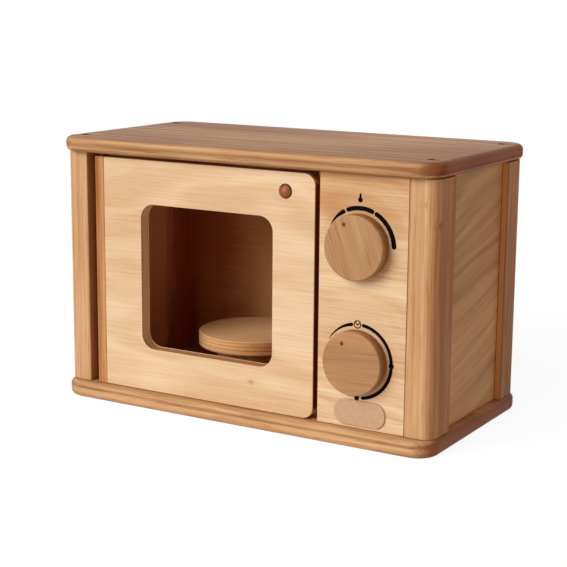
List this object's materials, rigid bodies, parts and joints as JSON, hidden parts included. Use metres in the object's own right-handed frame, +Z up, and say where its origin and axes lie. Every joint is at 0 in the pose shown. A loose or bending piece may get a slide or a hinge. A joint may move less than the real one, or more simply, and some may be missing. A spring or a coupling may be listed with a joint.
{
  "type": "toy microwave",
  "caption": "Wooden play microwave: a cabinet with a windowed door on hidden pins, turning dials and a turntable on a hub.",
  "frame": {"origin": "middle of the bottom board's underside", "axes": "+X towards the dials, right as seen from the front; +Y towards the back; +Z up"},
  "size_m": [0.32, 0.168, 0.2054],
  "materials": {
    "board_wood": "satin lacquered hardwood, grain along the width",
    "post_wood": "satin lacquered hardwood, upright grain",
    "front_ply": "satin lacquered pale plywood, level grain",
    "side_ply": "satin lacquered thin plywood with figured grain",
    "turntable_ply": "satin lacquered plywood with its plies showing at the rim",
    "stile_wood": "satin lacquered darker hardwood, upright grain",
    "knob_wood": "satin lacquered turned hardwood",
    "plug_wood": "polished reddish end grain",
    "bronzed_steel": "bronzed",
    "bright_steel": "zinc plated"
  },
  "bodies": {
    "cabinet": {"bottom_board": "board_wood", "top_board": "board_wood", "post_front_left": "post_wood", "post_front_right": "post_wood", "post_rear_left": "post_wood", "post_rear_right": "post_wood", "side_panel_left": "side_ply", "side_panel_right": "side_ply", "rear_panel": "side_ply", "divider_panel": "side_ply", "control_panel": "front_ply", "catch_block": "post_wood", "catch_magnet": "bright_steel", "turntable_hub": "post_wood", "top_screw_front_left": "bronzed_steel", "top_screw_front_right": "bronzed_steel", "top_screw_rear_left": "bronzed_steel", "top_screw_rear_right": "bronzed_steel", "bottom_screw_front_left": "bronzed_steel", "bottom_screw_front_right": "bronzed_steel", "bottom_screw_rear_left": "bronzed_steel", "bottom_screw_rear_right": "bronzed_steel"},
    "door": {"door_panel": "front_ply", "door_stile": "stile_wood", "hinge_pin_top": "bronzed_steel", "hinge_pin_bottom": "bronzed_steel", "door_plug": "plug_wood", "door_magnet": "bright_steel"},
    "dial_upper": {"knob_upper": "knob_wood", "spindle_upper": "post_wood", "collar_upper": "post_wood"},
    "dial_lower": {"knob_lower": "knob_wood", "spindle_lower": "post_wood", "collar_lower": "post_wood"},
    "turntable": {"turntable_disc": "turntable_ply", "turntable_pivot": "post_wood", "turntable_washer": "bright_steel", "turntable_screw": "bronzed_steel"}
  },
  "joints": [
    {"name": "door_hinge", "type": "hinge", "parent": "cabinet", "child": "door", "pos_m": [-0.12565, -0.07025, 0.1022], "axis": [0, 0, -1], "range_deg": [0, 120]},
    {"name": "dial_upper_turn", "type": "hinge", "parent": "cabinet", "child": "dial_upper", "pos_m": [0.0997, -0.07525, 0.14366], "axis": [0, 1, 0], "continuous": true},
    {"name": "dial_lower_turn", "type": "hinge", "parent": "cabinet", "child": "dial_lower", "pos_m": [0.0997, -0.07525, 0.06186], "axis": [0, 1, 0], "continuous": true},
    {"name": "turntable_spin", "type": "hinge", "parent": "cabinet", "child": "turntable", "pos_m": [-0.03285, 0.002, 0.0414], "axis": [0, 0, 1], "continuous": true}
  ]
}
